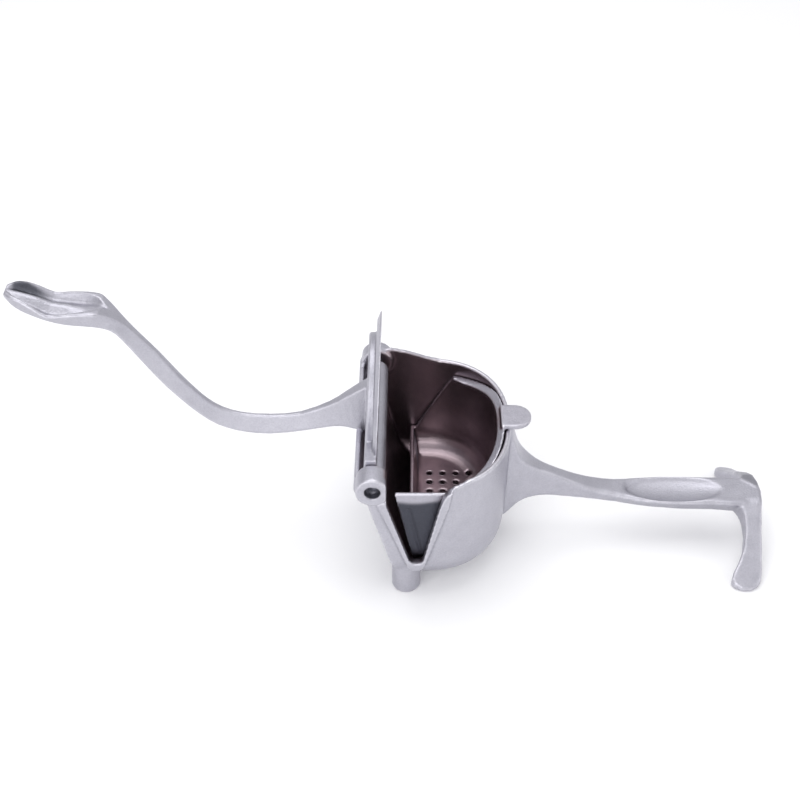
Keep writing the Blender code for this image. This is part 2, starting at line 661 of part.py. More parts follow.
def arm():
    """The S-shaped arm with its scooped grip."""
    stretch = GRIP_REACH / ARM_DRAWN
    flat = [(*top, *bottom, *rest) for top, bottom, *rest in ARM_STATIONS]
    loops = []
    for top_x, top_z, low_x, low_z, *rest in refine(flat):
        loops.append(arm_section((top_x * stretch, top_z), (low_x * stretch, low_z), *rest))
    return loft("arm", loops)


def press_lever(finish):
    """The upper casting: barrel, plate, arm and grip."""
    start = -LUG_INNER_NEAR + SEAT
    end = LUG_INNER_FAR - LEVER_PLAY
    barrel = [(max(x, -BARREL_FLAT), z) for x, z in circle(BARREL_RADIUS)]
    lever = prism_y("press_lever", barrel, start, end)
    lever.data.materials.append(finish)
    web = [(-BARREL_FLAT, 0.0), (PLATE_FACE, 0.0), (PLATE_FACE + 0.4, WEB_TOP),
           (1.0 - BARREL_FLAT, WEB_TOP)]
    combine(lever, prism_y("web", web, start, end), "UNION")
    combine(lever, plate(), "UNION")
    combine(lever, arm(), "UNION")
    bore = cylinder_y("lever_bore", PIN_RADIUS + PIN_FIT, start - 1.0, end + 1.0)
    combine(lever, bore, "DIFFERENCE")
    move_origin(lever, place(0.0, 0.0, 0.0))
    return lever


def hinge_pin(finish):
    """The steel pin with its head in the far pocket."""
    near = -LUG_OUTER + POCKET_DEPTH + PIN_RECESS
    far = LUG_OUTER - POCKET_DEPTH
    pin = cylinder_y("hinge_pin", PIN_RADIUS, near, far + 1.0)
    pin.data.materials.append(finish)
    head = cylinder_y("pin_head", HEAD_RADIUS, far + SEAT, far + SEAT + HEAD_LENGTH)
    combine(pin, head, "UNION")
    move_origin(pin, place(0.0, 0.0, 0.0))
    return pin


def build():
    """Build every piece."""
    tidy_scene()
    cast = material("cast aluminium", (0.56, 0.56, 0.60), 0.36)
    strainer = material("polished cast aluminium", (0.52, 0.52, 0.56), 0.28)
    steel = material("steel", (0.45, 0.45, 0.47), 0.3)
    press_body(cast)
    strainer_basket(strainer)
    press_lever(cast)
    hinge_pin(steel)


build()
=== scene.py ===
"""Looks of a hand citrus press: three tumbled aluminium castings and a ground steel pin.

Each casting is a softened copy of its CAD solid. Shape work is done in millimetres from the
hinge axis, with X towards the lower handle, Y along the pin away from the spout and Z up.
"""

import logging  # noqa: E402
import math  # noqa: E402
from collections.abc import Iterable  # noqa: E402
from dataclasses import dataclass, field  # noqa: E402
from enum import Enum  # noqa: E402

import bmesh  # noqa: E402
import bpy  # noqa: E402
import numpy as np  # noqa: E402
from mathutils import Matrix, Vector  # noqa: E402

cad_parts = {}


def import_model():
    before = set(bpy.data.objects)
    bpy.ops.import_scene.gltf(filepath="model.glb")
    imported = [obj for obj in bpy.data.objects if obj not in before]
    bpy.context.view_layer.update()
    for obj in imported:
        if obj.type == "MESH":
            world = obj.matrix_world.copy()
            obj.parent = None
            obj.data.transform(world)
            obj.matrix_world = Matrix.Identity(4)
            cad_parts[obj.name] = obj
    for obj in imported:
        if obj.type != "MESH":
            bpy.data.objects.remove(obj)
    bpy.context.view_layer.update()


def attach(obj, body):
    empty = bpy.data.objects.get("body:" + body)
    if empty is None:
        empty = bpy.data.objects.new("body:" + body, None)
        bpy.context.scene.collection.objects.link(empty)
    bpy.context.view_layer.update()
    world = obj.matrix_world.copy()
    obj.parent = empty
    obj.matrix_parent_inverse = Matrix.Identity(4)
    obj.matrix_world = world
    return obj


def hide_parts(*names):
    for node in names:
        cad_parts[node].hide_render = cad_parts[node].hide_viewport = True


LOG = logging.getLogger("citrus_press")
MM = 0.001

# Places every sub-assembly shares, in millimetres.
HINGE_X = -17.4
HINGE_Z = 90.0
BOWL_REACH = 82.0
BOWL_HALF_WIDTH = 61.0
BOWL_DEPTH = 80.0

# Vertex layers: worn edges, the hollow (polish with a painted reddish reflection and shade)
# and painted shade in creases and recesses.
EDGE_LAYER = "worn_edge"
HOLLOW_LAYER = "hollow"
PAINTED_SHADE_LAYER = "crease"

SAME_PLACE = 1e-6            # metres between vertices that are merged
SOFTENING = (0.55, -0.57)    # pull towards the neighbours, then slightly further back
NOISE_ROUGHNESS = 0.6
RIM_SIDES = 32
WIRE_SIDES = 8

# How sharp a bend starts to count and counts in full, as a share of the mesh's step.
EDGE_BEND = (0.05, 0.18)
CREASE_BEND = (0.04, 0.2)

# The fruit space, for marking what faces into it.
HOLLOW_MIDDLE = (34.0, 0.0)
HOLLOW_FACING = 0.25         # least share of a wall's normal that points at the middle
HOLLOW_FLOOR = 0.6           # least upward share of a floor's normal
HOLLOW_TOP = 0.75            # a wall that faces up more than this is a rim
HOLLOW_MARGIN = 1.0          # kept clear of the bowl's outer faces
HOLLOW_LIFT = 6.0            # lowest wall above the underside


class Zone(Enum):
    """Which hollow a casting has, as the height below which its floors are polished."""

    NONE = None
    BOWL = -4.0
    BASKET = -9.5


def linear(hex_colour: str) -> tuple[float, float, float, float]:
    """Turn an sRGB hex colour into linear RGBA.

    Args:
        hex_colour: The colour as "#rrggbb".

    Returns:
        Red, green, blue and alpha in linear light.
    """
    channels = []
    for start in (1, 3, 5):
        value = int(hex_colour[start:start + 2], 16) / 255
        low = value <= 0.04045
        channels.append(value / 12.92 if low else ((value + 0.055) / 1.055) ** 2.4)
    return (*channels, 1.0)


def add_node(
    tree: bpy.types.NodeTree,
    kind: str,
    links: dict[str | int, bpy.types.NodeSocket] | None = None,
    values: dict[str | int, object] | None = None,
    **settings: object,
) -> bpy.types.Node:
    """Add a node with its settings, input values and incoming links.

    Args:
        tree: The node tree.
        kind: The node's type name.
        links: Output sockets to link, by input name or number.
        values: Input values, by input name or number.
        **settings: Properties of the node itself.

    Returns:
        The new node.
    """
    node = tree.nodes.new(kind)
    for name, value in settings.items():
        setattr(node, name, value)
    for key, value in (values or {}).items():
        node.inputs[key].default_value = value
    for key, socket in (links or {}).items():
        tree.links.new(socket, node.inputs[key])
    return node


def attribute(tree: bpy.types.NodeTree, name: str) -> bpy.types.NodeSocket:
    """Read one of the mesh's float attributes."""
    return add_node(tree, "ShaderNodeAttribute", attribute_name=name).outputs["Fac"]


def noise(
    tree: bpy.types.NodeTree, place: bpy.types.NodeSocket, size: float, detail: float
) -> bpy.types.NodeSocket:
    """Add noise whose blotches are about a size across.

    Args:
        tree: The material's node tree.
        place: The coordinates.
        size: Size of a blotch in millimetres.
        detail: Octaves of finer noise.

    Returns:
        The noise value.
    """
    values = {"Scale": 1 / (size * MM), "Detail": detail, "Roughness": NOISE_ROUGHNESS}
    return add_node(tree, "ShaderNodeTexNoise", {"Vector": place}, values).outputs["Fac"]


def calculate(
    tree: bpy.types.NodeTree, operation: str, *terms: bpy.types.NodeSocket | float
) -> bpy.types.NodeSocket:
    """Add a math node.

    Args:
        tree: The material's node tree.
        operation: The operation's name.
        *terms: Its inputs in order, as sockets or numbers.

    Returns:
        The result.
    """
    node = add_node(tree, "ShaderNodeMath", operation=operation)
    fill(tree, node, enumerate(terms))
    return node.outputs["Value"]


def fill(
    tree: bpy.types.NodeTree,
    node: bpy.types.Node,
    terms: Iterable[tuple[int, bpy.types.NodeSocket | float | tuple[float, ...]]],
) -> None:
    """Link sockets to a node's numbered inputs, or set them to plain values.

    Args:
        tree: The node tree.
        node: The node.
        terms: Input numbers, each with a socket or a value.
    """
    for key, term in terms:
        if isinstance(term, bpy.types.NodeSocket):
            tree.links.new(term, node.inputs[key])
        else:
            node.inputs[key].default_value = term


def mix(
    tree: bpy.types.NodeTree,
    share: bpy.types.NodeSocket | float,
    first: bpy.types.NodeSocket | tuple[float, ...],
    second: bpy.types.NodeSocket | tuple[float, ...],
) -> bpy.types.NodeSocket:
    """Mix two colours by a share.

    Args:
        tree: The material's node tree.
        share: How much of the second colour shows.
        first: The colour where the share is 0.
        second: The colour where the share is 1.

    Returns:
        The mixed colour.
    """
    node = add_node(tree, "ShaderNodeMix", data_type="RGBA")
    fill(tree, node, ((0, share), (6, first), (7, second)))
    return node.outputs[2]


def mix_values(
    tree: bpy.types.NodeTree,
    share: bpy.types.NodeSocket | float,
    first: bpy.types.NodeSocket | float,
    second: bpy.types.NodeSocket | float,
) -> bpy.types.NodeSocket:
    """Mix two values by a share.

    Args:
        tree: The material's node tree.
        share: How much of the second value shows.
        first: The value where the share is 0.
        second: The value where the share is 1.

    Returns:
        The mixed value.
    """
    node = add_node(tree, "ShaderNodeMix", data_type="FLOAT")
    fill(tree, node, ((0, share), (2, first), (3, second)))
    return node.outputs[0]


def span(
    tree: bpy.types.NodeTree,
    value: bpy.types.NodeSocket,
    limits: tuple[float, float],
    result: tuple[float, float] = (0.0, 1.0),
) -> bpy.types.NodeSocket:
    """Map a value from one range to another, clamped.

    Args:
        tree: The material's node tree.
        value: The value to map.
        limits: The range it comes from.
        result: The range it goes to.

    Returns:
        The mapped value.
    """
    node = add_node(tree, "ShaderNodeMapRange")
    fill(tree, node, enumerate((value, *limits, *result)))
    return node.outputs["Result"]


def ramp(values: np.ndarray, start: float, end: float) -> np.ndarray:
    """Rise evenly from 0 at the start to 1 at the end, flat beyond both."""
    return np.clip((values - start) / (end - start), 0.0, 1.0)


def from_hinge(x: float, y: float, z: float) -> Vector:
    """Metres in the row frame from millimetres measured from the hinge axis."""
    return Vector(((HINGE_X + x) * MM, y * MM, (HINGE_Z + z) * MM))


def baked(item: bpy.types.Object, name: str) -> bpy.types.Object:
    """Turn an object and its modifiers into a plain mesh object.

    Args:
        item: The object with modifiers, which is removed.
        name: Name of the plain object.

    Returns:
        The plain mesh object, at the origin.
    """
    graph = bpy.context.evaluated_depsgraph_get()
    mesh = bpy.data.meshes.new_from_object(item.evaluated_get(graph))
    bpy.data.objects.remove(item)
    made = bpy.data.objects.new(name, mesh)
    bpy.context.scene.collection.objects.link(made)
    return made


@dataclass(frozen=True)
class CastAluminium:
    """Sand-cast food-grade aluminium, tumbled with ceramic media after casting.

    Tumbling leaves a fine even matte grain that scatters light softly and bright smooth
    rims where the media rub the edges. Shade is painted into the creases and some recesses,
    and the polished hollow carries a painted reddish reflection and shade. Sizes are
    millimetres.
    """

    name: str
    skin: str = "#c2c1c9"
    stain: str = "#b0afb8"
    rim: str = "#e6e4ea"
    # Colour of the painted shade in creases and recesses.
    crease: str = "#40424b"
    # The hollow's colours: polished metal with a painted reddish reflection and painted
    # shade.
    hollow: str = "#ae9da1"
    hollow_deep: str = "#8f8289"
    grain: float = 1.1
    grain_detail: float = 4.0
    mottle: float = 9.0
    mottle_detail: float = 3.0
    blotch: tuple[float, float] = (0.3, 0.7)
    speck: tuple[float, float] = (0.35, 0.65)
    pit: float = 3.2
    pit_slope: tuple[float, float] = (0.04, 0.16)
    pit_share: float = 0.35
    relief_depth: float = 0.45
    relief_strength: tuple[float, float] = (0.6, 0.12)
    skin_roughness: float = 0.42
    roughness_spread: float = 0.05
    rim_roughness: float = 0.22
    hollow_roughness: float = 0.3
    rim_share: float = 0.6
    rim_broken: float = 0.6

    def build(self) -> bpy.types.Material:
        """Build the material.

        Returns:
            The casting's material, which reads Object coordinates and the worn-edge, hollow
            and painted-shade layers.
        """
        made = bpy.data.materials.new(self.name)
        made.use_nodes = True
        tree = made.node_tree
        shader = tree.nodes["Principled BSDF"]
        shader.inputs["Metallic"].default_value = 1.0
        place = add_node(tree, "ShaderNodeTexCoord").outputs["Object"]
        hollow = attribute(tree, HOLLOW_LAYER)
        mottle = noise(tree, place, self.mottle, self.mottle_detail)
        grain = noise(tree, place, self.grain, self.grain_detail)
        worn = self.worn(tree, grain)
        smooth = calculate(tree, "MAXIMUM", hollow, worn)
        colour = self.colour(tree, mottle, grain, hollow)
        for name, socket in (
            ("Base Color", mix(tree, worn, colour, linear(self.rim))),
            ("Roughness", self.roughness(tree, mottle, hollow, worn)),
            ("Normal", self.relief(tree, place, grain, smooth)),
        ):
            tree.links.new(socket, shader.inputs[name])
        return made

    def colour(
        self,
        tree: bpy.types.NodeTree,
        mottle: bpy.types.NodeSocket,
        grain: bpy.types.NodeSocket,
        hollow: bpy.types.NodeSocket,
    ) -> bpy.types.NodeSocket:
        """Colour of the skin, the hollow with its painted reflection and shade, and the
        painted crease shade.

        Args:
            tree: The material's node tree.
            mottle: The large noise.
            grain: The grain noise.
            hollow: The hollow layer.

        Returns:
            The colour without the worn rims.
        """
        blend = mix_values(
            tree, 0.5, span(tree, mottle, self.blotch), span(tree, grain, self.speck)
        )
        skin = mix(tree, blend, linear(self.stain), linear(self.skin))
        # The hollow's colour holds a painted reddish reflection and painted shade over its
        # polish.
        polished = mix(tree, mottle, linear(self.hollow_deep), linear(self.hollow))
        colour = mix(tree, hollow, skin, polished)
        # Painted shade: the creases and marked recesses darken towards the crease colour.
        return mix(tree, attribute(tree, PAINTED_SHADE_LAYER), colour, linear(self.crease))

    def worn(
        self, tree: bpy.types.NodeTree, grain: bpy.types.NodeSocket
    ) -> bpy.types.NodeSocket:
        """Break up the worn rims a little with the grain.

        Args:
            tree: The material's node tree.
            grain: The grain noise.

        Returns:
            How far the metal is rubbed bright.
        """
        shares = (self.rim_broken * self.rim_share, self.rim_share)
        broken = span(tree, grain, self.blotch, shares)
        return calculate(tree, "MULTIPLY", attribute(tree, EDGE_LAYER), broken)

    def roughness(
        self,
        tree: bpy.types.NodeTree,
        mottle: bpy.types.NodeSocket,
        hollow: bpy.types.NodeSocket,
        worn: bpy.types.NodeSocket,
    ) -> bpy.types.NodeSocket:
        """Roughness of skin, polished hollow and rims.

        Args:
            tree: The material's node tree.
            mottle: The large noise.
            hollow: The hollow layer.
            worn: How far the metal is rubbed bright.

        Returns:
            The roughness.
        """
        middle, spread = self.skin_roughness, self.roughness_spread
        rough = span(tree, mottle, self.blotch, (middle - spread, middle + spread))
        rough = mix_values(tree, hollow, rough, self.hollow_roughness)
        return mix_values(tree, worn, rough, self.rim_roughness)

    def relief(
        self,
        tree: bpy.types.NodeTree,
        place: bpy.types.NodeSocket,
        grain: bpy.types.NodeSocket,
        smooth: bpy.types.NodeSocket,
    ) -> bpy.types.NodeSocket:
        """Grain and shallow pits of the cast skin, faint where the metal is rubbed smooth.

        Args:
            tree: The material's node tree.
            place: The coordinates.
            grain: The grain noise.
            smooth: How far the metal is rubbed or polished smooth.

        Returns:
            The bent normal.
        """
        values = {"Scale": 1 / (self.pit * MM), "Randomness": 1.0}
        cells = add_node(tree, "ShaderNodeTexVoronoi", {"Vector": place}, values)
        pits = span(tree, cells.outputs["Distance"], self.pit_slope)
        height = calculate(tree, "MULTIPLY_ADD", pits, self.pit_share, grain)
        strength = span(tree, smooth, (0.0, 1.0), self.relief_strength)
        links = {"Strength": strength, "Height": height}
        bump = add_node(tree, "ShaderNodeBump", links, {"Distance": self.relief_depth * MM})
        return bump.outputs["Normal"]


@dataclass(frozen=True)
class GroundSteel:
    """Centreless-ground steel rod: fine rings round the rod, a soft even gleam."""

    name: str = "ground_steel_rod"
    colour: str = "#9a9aa2"
    shade: str = "#7c7c86"
    ring: float = 0.4
    ring_detail: float = 2.0
    stretch: tuple[float, float, float] = (0.05, 1.0, 0.05)
    roughness: float = 0.28
    relief_strength: float = 0.2
    relief_depth: float = 0.05

    def build(self) -> bpy.types.Material:
        """Build the material.

        Returns:
            The rod's material.
        """
        made = bpy.data.materials.new(self.name)
        made.use_nodes = True
        tree = made.node_tree
        shader = tree.nodes["Principled BSDF"]
        shader.inputs["Metallic"].default_value = 1.0
        shader.inputs["Roughness"].default_value = self.roughness
        place = add_node(tree, "ShaderNodeTexCoord").outputs["Object"]
        values = {"Scale": self.stretch}
        along = add_node(tree, "ShaderNodeMapping", {"Vector": place}, values)
        rings = noise(tree, along.outputs["Vector"], self.ring, self.ring_detail)
        colour = mix(tree, rings, linear(self.shade), linear(self.colour))
        tree.links.new(colour, shader.inputs["Base Color"])
        values = {"Strength": self.relief_strength, "Distance": self.relief_depth * MM}
        bump = add_node(tree, "ShaderNodeBump", {"Height": rings}, values)
        tree.links.new(bump.outputs["Normal"], shader.inputs["Normal"])
        return made


@dataclass(frozen=True)
class ToolMark:
    """A straight rib or groove cast into a surface, between two points from the hinge."""

    start: tuple[float, float, float]
    end: tuple[float, float, float]
    push: tuple[float, float, float]
    half_width: float = 0.9

    def apply(self, points: np.ndarray) -> np.ndarray:
        """Move the points near the line.

        Args:
            points: Vertex places in millimetres from the hinge.

        Returns:
            The moved places.
        """
        start, end = np.array(self.start), np.array(self.end)
        line = end - start
        share = np.clip((points - start) @ line / (line @ line), 0.0, 1.0)
        gap = np.linalg.norm(points - (start + share[:, None] * line), axis=1)
        fall = np.clip(1.0 - gap / (2 * self.half_width), 0.0, 1.0)
        fall = fall * fall * (3 - 2 * fall)
        return points + fall[:, None] * np.array(self.push)


@dataclass
class Casting:
    """A casting's skin: a finely divided, softened copy of its CAD solid.

    All of it is softened a few rounds, and the flat areas many more, so edges stay crisp.
    """

    node: str
    body: str
    slot: str
    voxel: float
    zone: Zone = Zone.NONE
    rounds: int = 3
    calm_rounds: int = 14
    calm_reach: float = 3.0
    marks: tuple[ToolMark, ...] = ()
    crease_shade_share: float = 0.5
    blur: int = 3
    finish: CastAluminium = field(default_factory=lambda: CastAluminium("cast_aluminium"))

    def build(self) -> bpy.types.Object:
        """Make the skin, dress it and let it stand for its CAD node.

        Returns:
            The finished skin.
        """
        skin = self.divided()
        points, links = self.read(skin.data)
        points = self.soften(points, links, np.ones(len(points)), self.rounds)
        edge, crease = self.bends(points, self.normals(skin.data, points), links)
        calm = 1.0 - np.clip(self.calm_reach * (edge + crease), 0.0, 1.0)
        points = self.soften(points, links, calm, self.calm_rounds)
        for mark in self.marks:
            points = mark.apply(points)
        self.wear(skin.data, points, links)
        skin.data.shade_smooth()
        skin.data.materials.clear()
        skin.data.materials.append(self.finish.build())
        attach(skin, self.body)
        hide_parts(self.node)
        LOG.info("%s: %d vertices", skin.name, len(skin.data.vertices))
        return skin

    def wear(self, mesh: bpy.types.Mesh, points: np.ndarray, links: np.ndarray) -> None:
        """Give a mesh its final vertex places and its worn-edge, hollow and painted-shade
        layers.

        Args:
            mesh: The mesh.
            points: Vertex places in millimetres from the hinge.
            links: Edges as vertex pairs.
        """
        normals = self.normals(mesh, points)
        edge, crease = self.bends(points, normals, links)
        # Painted shade in marked recesses and flanks, kept off the worn edges and joined
        # with the creases' painted shade.
        painted_shade = self.spread(self.painted_shade(points, normals), links, self.blur)
        hollow = self.spread(self.hollow(points, normals), links, self.blur)
        self.layer(mesh, EDGE_LAYER, edge * (1.0 - painted_shade))
        self.layer(mesh, PAINTED_SHADE_LAYER, np.maximum(self.crease_shade_share * crease, painted_shade))
        self.layer(mesh, HOLLOW_LAYER, hollow)

    def divided(self) -> bpy.types.Object:
        """Copy the CAD node, merge it and divide it evenly.

        Returns:
            The divided copy.
        """
        source = bpy.data.objects[self.node]
        copy = bpy.data.objects.new(f"{self.node}_copy", source.data.copy())
        bpy.context.scene.collection.objects.link(copy)
        mesh_data = bmesh.new()
        mesh_data.from_mesh(copy.data)
        bmesh.ops.remove_doubles(mesh_data, verts=mesh_data.verts, dist=SAME_PLACE)
        mesh_data.to_mesh(copy.data)
        mesh_data.free()
        step = copy.modifiers.new("divide", "REMESH")
        step.mode = "VOXEL"
        step.voxel_size = self.voxel * MM
        return baked(copy, f"{self.node}_skin")

    @staticmethod
    def read(mesh: bpy.types.Mesh) -> tuple[np.ndarray, np.ndarray]:
        """Read a mesh.

        Args:
            mesh: The mesh.

        Returns:
            Vertex places in millimetres from the hinge, and edges as vertex pairs.
        """
        count = len(mesh.vertices)
        points = np.zeros(count * 3)
        mesh.vertices.foreach_get("co", points)
        points = points.reshape(-1, 3) / MM - np.array((HINGE_X, 0.0, HINGE_Z))
        links = np.zeros(len(mesh.edges) * 2, dtype=np.int64)
        mesh.edges.foreach_get("vertices", links)
        return points, links.reshape(-1, 2)

    @staticmethod
    def write(mesh: bpy.types.Mesh, points: np.ndarray) -> None:
        """Write vertex places back to a mesh.

        Args:
            mesh: The mesh.
            points: Vertex places in millimetres from the hinge.
        """
        metres = (points + np.array((HINGE_X, 0.0, HINGE_Z))) * MM
        mesh.vertices.foreach_set("co", metres.ravel())
        mesh.update()

    @classmethod
    def normals(cls, mesh: bpy.types.Mesh, points: np.ndarray) -> np.ndarray:
        """Vertex normals after the vertices move to new places.

        Args:
            mesh: The mesh, which takes the places.
            points: Places in millimetres from the hinge.

        Returns:
            The normals.
        """
        cls.write(mesh, points)
        found = np.zeros(len(points) * 3)
        mesh.vertices.foreach_get("normal", found)
        return found.reshape(-1, 3)

    @staticmethod
    def neighbour_mean(values: np.ndarray, links: np.ndarray) -> np.ndarray:
        """Mean of each vertex's neighbours.

        Args:
            values: One row per vertex.
            links: Edges as vertex pairs.

        Returns:
            The means, one row per vertex.
        """
        count = len(values)
        first, second = links[:, 0], links[:, 1]
        many = np.bincount(first, minlength=count) + np.bincount(second, minlength=count)
        total = np.empty_like(values)
        for axis in range(values.shape[1]):
            total[:, axis] = np.bincount(first, values[second, axis], count)
            total[:, axis] += np.bincount(second, values[first, axis], count)
        return total / np.maximum(many, 1)[:, None]

    @classmethod
    def soften(
        cls, points: np.ndarray, links: np.ndarray, share: np.ndarray, rounds: int
    ) -> np.ndarray:
        """Smooth the shape without shrinking it.

        Args:
            points: Vertex places.
            links: Edges as vertex pairs.
            share: How strongly each vertex is smoothed, 0 to 1.
            rounds: Number of smoothing rounds.

        Returns:
            The smoothed places.
        """
        for _ in range(rounds):
            for pull in SOFTENING:
                move = cls.neighbour_mean(points, links) - points
                points = points + pull * share[:, None] * move
        return points

    @classmethod
    def spread(cls, values: np.ndarray, links: np.ndarray, rounds: int) -> np.ndarray:
        """Blur a value over its neighbours.

        Args:
            values: One value per vertex.
            links: Edges as vertex pairs.
            rounds: Number of rounds.

        Returns:
            The blurred values.
        """
        column = values[:, None]
        for _ in range(rounds):
            column = 0.5 * column + 0.5 * cls.neighbour_mean(column, links)
        return column[:, 0]

    @classmethod
    def bends(
        cls, points: np.ndarray, normals: np.ndarray, links: np.ndarray
    ) -> tuple[np.ndarray, np.ndarray]:
        """How sharply the surface bends outwards and inwards.

        Args:
            points: Vertex places.
            normals: Vertex normals.
            links: Edges as vertex pairs.

        Returns:
            Worn edge and crease values, 0 to 1.
        """
        length = np.linalg.norm(points[links[:, 0]] - points[links[:, 1]], axis=1).mean()
        lift = ((points - cls.neighbour_mean(points, links)) * normals).sum(axis=1) / length
        lift = cls.spread(lift, links, 2)
        return ramp(lift, *EDGE_BEND), ramp(-lift, *CREASE_BEND)

    def hollow(self, points: np.ndarray, normals: np.ndarray) -> np.ndarray:
        """Mark the surface that faces into the fruit space.

        Args:
            points: Vertex places in millimetres from the hinge.
            normals: Vertex normals.

        Returns:
            1 inside the hollow, 0 elsewhere.
        """
        if self.zone is Zone.NONE:
            return np.zeros(len(points))
        x, y, z = points.T
        flat = points[:, :2] - np.array(HOLLOW_MIDDLE)
        inward = -(flat * normals[:, :2]).sum(axis=1)
        facing = inward / np.maximum(np.linalg.norm(flat, axis=1), 1.0)
        across = np.abs(y) < BOWL_HALF_WIDTH - HOLLOW_MARGIN
        along = (x > 0.0) & (x < BOWL_REACH - HOLLOW_MARGIN)
        wall = (facing > HOLLOW_FACING) & (z > HOLLOW_LIFT - BOWL_DEPTH)
        wall &= normals[:, 2] < HOLLOW_TOP
        floor = (normals[:, 2] > HOLLOW_FLOOR) & (z < self.zone.value)
        return ((wall | floor) & across & along).astype(float)

    def painted_shade(self, points: np.ndarray, normals: np.ndarray) -> np.ndarray:
        """Mark where shade is painted, apart from the creases.

        Args:
            points: Vertex places in millimetres from the hinge.
            normals: Vertex normals, not used here.

        Returns:
            1 where shade is painted in full, 0 elsewhere.
        """
        return np.zeros(len(points))

    @staticmethod
    def layer(mesh: bpy.types.Mesh, name: str, values: np.ndarray) -> None:
        """Store one value per vertex as a mesh attribute."""
        made = mesh.attributes.new(name, "FLOAT", "POINT")
        made.data.foreach_set("value", values.astype(np.float32))


@dataclass
class PressBody(Casting):
    """The lower casting: bowl, spout, feet, handle and T foot."""

    node: str = "press_body"
    body: str = "body"
    slot: str = "body_casting"
    voxel: float = 1.02
    zone: Zone = Zone.BOWL
    marks: tuple[ToolMark, ...] = (
        ToolMark((227.4, 14.6, -56.2), (240.3, 3.0, -56.0), (0.0, 0.0, 0.5), 0.8),
    )
    # Painted shade inside the pin pockets and on the T foot's far flank.
    pocket_radius: float = 4.7
    pocket_start: float = 59.5
    pocket_shade: float = 0.6
    leg_shade: float = 0.35
    leg_start: float = 226.0
    leg_span: tuple[float, float] = (3.0, 30.0)
    leg_clear: float = 1.0375
    leg_up: float = 0.2
    finish: CastAluminium = field(
        default_factory=lambda: CastAluminium("tumbled_aluminium_casting")
    )

    def painted_shade(self, points: np.ndarray, normals: np.ndarray) -> np.ndarray:
        """Paint shade inside the pin pockets and on the far flank of the T foot.

        Args:
            points: Places in millimetres from the hinge.
            normals: Vertex normals.

        Returns:
            Share of painted shade per vertex.
        """
        x, y, z = points.T
        deep = np.abs(y) > self.pocket_start
        pocket = deep & (np.hypot(x, z) < self.pocket_radius)
        rib = self.marks[0]
        start, end = np.array(rib.start[:2]), np.array(rib.end[:2])
        along = (end - start) / np.linalg.norm(end - start)
        beyond = (points[:, :2] - start) @ np.array((-along[1], along[0]))
        flank = (beyond > self.leg_clear) & (normals[:, 2] > self.leg_up)
        flank &= (x > self.leg_start) & (y > self.leg_span[0]) & (y < self.leg_span[1])
        return np.maximum(pocket * self.pocket_shade, flank * self.leg_shade)


@dataclass
class StrainerBasket(Casting):
    """The lift-out basket with its polished inside."""

    node: str = "strainer_basket"
    body: str = "basket"
    slot: str = "basket_casting"
    voxel: float = 0.75
    zone: Zone = Zone.BASKET
    marks: tuple[ToolMark, ...] = (
        ToolMark((21.0, -56.7, -21.1), (28.4, -56.7, -57.7), (0.0, 0.8, 0.0)),
    )
    # Painted shade on the near wall behind the spout, below a wavy line.
    band_foot: float = -13.5
    band_wave: float = 0.8
    band_pitch: float = 5.0
    band_fade: float = 2.5
    wall_side: float = -40.0
    wall_facing: float = -0.5
    wall_shade: float = 0.95
    finish: CastAluminium = field(
        default_factory=lambda: CastAluminium(
            "satin_aluminium_basket", skin="#bcbac3", stain="#acaab3", skin_roughness=0.38
        )
    )

    def painted_shade(self, points: np.ndarray, normals: np.ndarray) -> np.ndarray:
        """Paint shade on the outside of the near wall below the bright band at its rim.

        Args:
            points: Places in millimetres from the hinge.
            normals: Vertex normals.

        Returns:
            Share of painted shade per vertex.
        """
        x, y, z = points.T
        behind_spout = (y < self.wall_side) & (normals[:, 1] < self.wall_facing)
        foot = self.band_foot + self.band_wave * np.sin(x / self.band_pitch)
        below = np.clip((foot - z) / self.band_fade, 0.0, self.wall_shade)
        return behind_spout * below


@dataclass
class PressLever(Casting):
    """The upper casting: barrel, press plate, arm and scooped grip.

    The far groove's limits are given as where its painted shade starts and where it's in
    full.
    """

    node: str = "press_lever"
    body: str = "lever"
    slot: str = "lever_casting"
    voxel: float = 0.6
    # Painted shade in the grip's far groove, standing in for its dark reflection.
    groove_shade: float = 0.85
    groove_tip: tuple[float, float] = (-205.5, -203.5)
    groove_bend: tuple[float, float] = (-182.0, -192.0)
    groove_neck: tuple[float, float] = (-164.0, -172.0)
    groove_ridge: tuple[float, float] = (0.4, 1.2)
    groove_rim: tuple[float, float] = (9.6, 8.4)
    neck_share: float = 0.2
    groove_up: float = 0.25
    finish: CastAluminium = field(
        default_factory=lambda: CastAluminium("tumbled_aluminium_lever")
    )

    def painted_shade(self, points: np.ndarray, normals: np.ndarray) -> np.ndarray:
        """Paint shade into the far groove of the grip.

        Args:
            points: Places in millimetres from the hinge.
            normals: Vertex normals.

        Returns:
            Share of painted shade per vertex.
        """
        x, y = points[:, 0], points[:, 1]
        along = ramp(x, *self.groove_tip) * ramp(x, *self.groove_neck)
        along *= np.maximum(ramp(x, *self.groove_bend), self.neck_share)
        across = ramp(y, *self.groove_ridge) * ramp(y, *self.groove_rim)
        return along * across * (normals[:, 2] > self.groove_up) * self.groove_shade


